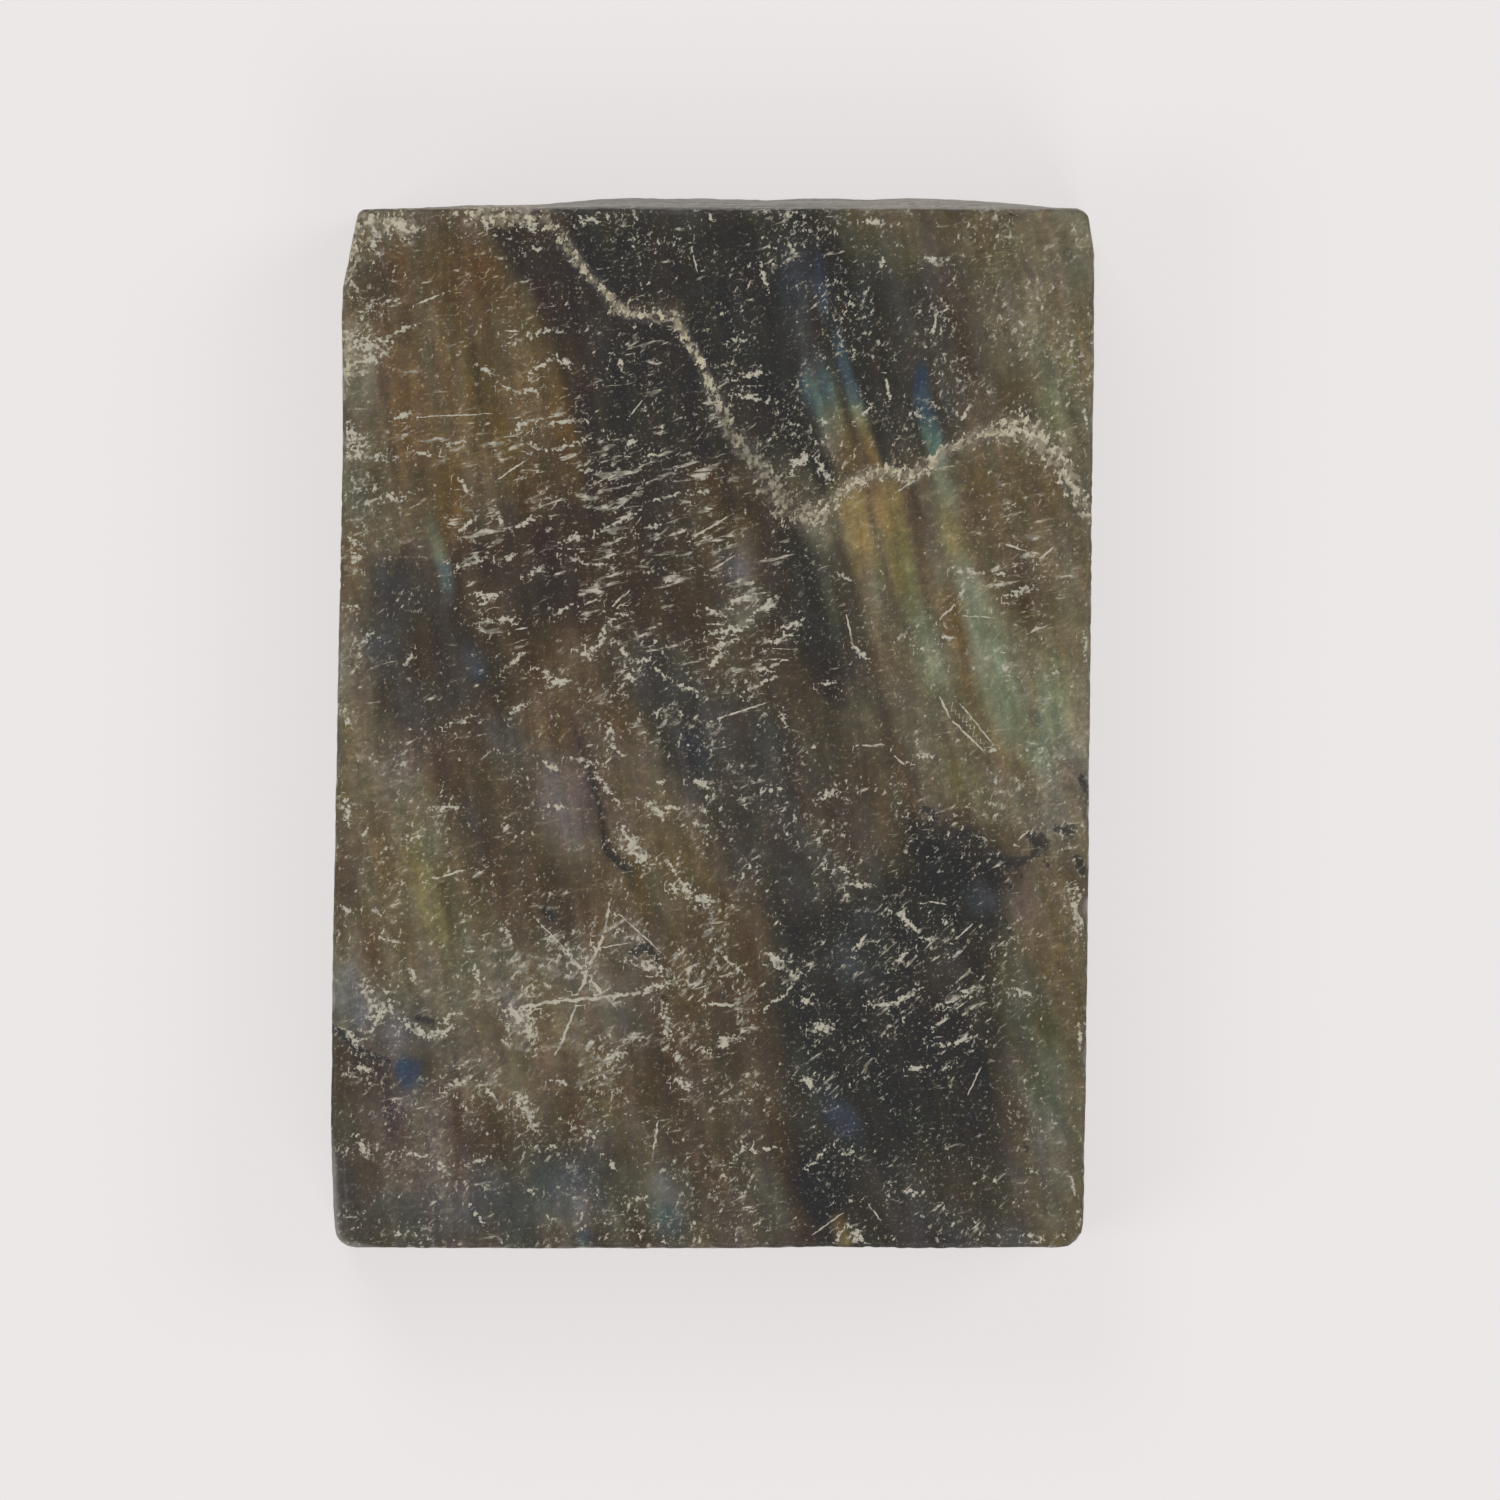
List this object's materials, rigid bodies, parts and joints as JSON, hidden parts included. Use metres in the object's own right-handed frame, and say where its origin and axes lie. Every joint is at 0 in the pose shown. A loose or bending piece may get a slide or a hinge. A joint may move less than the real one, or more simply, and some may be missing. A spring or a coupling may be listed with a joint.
{
  "type": "rough labradorite slab",
  "caption": "Flat rectangular slab of rough labradorite, sawn on all sides, with chipped arrises, crumbling veins and small pits in its face.",
  "frame": {"origin": "centre of the box round the slab, on the plane of its underside", "axes": "+X across the slab, +Y along it towards the edge where the vein enters, +Z out of the patterned face"},
  "size_m": [0.022, 0.0306, 0.005],
  "materials": {
    "labradorite": "fine-sawn, dull to satin, with blue, green and gold flashes in leaning lamellae"
  },
  "bodies": {
    "root": {"labradorite_slab": "labradorite"}
  },
  "joints": []
}
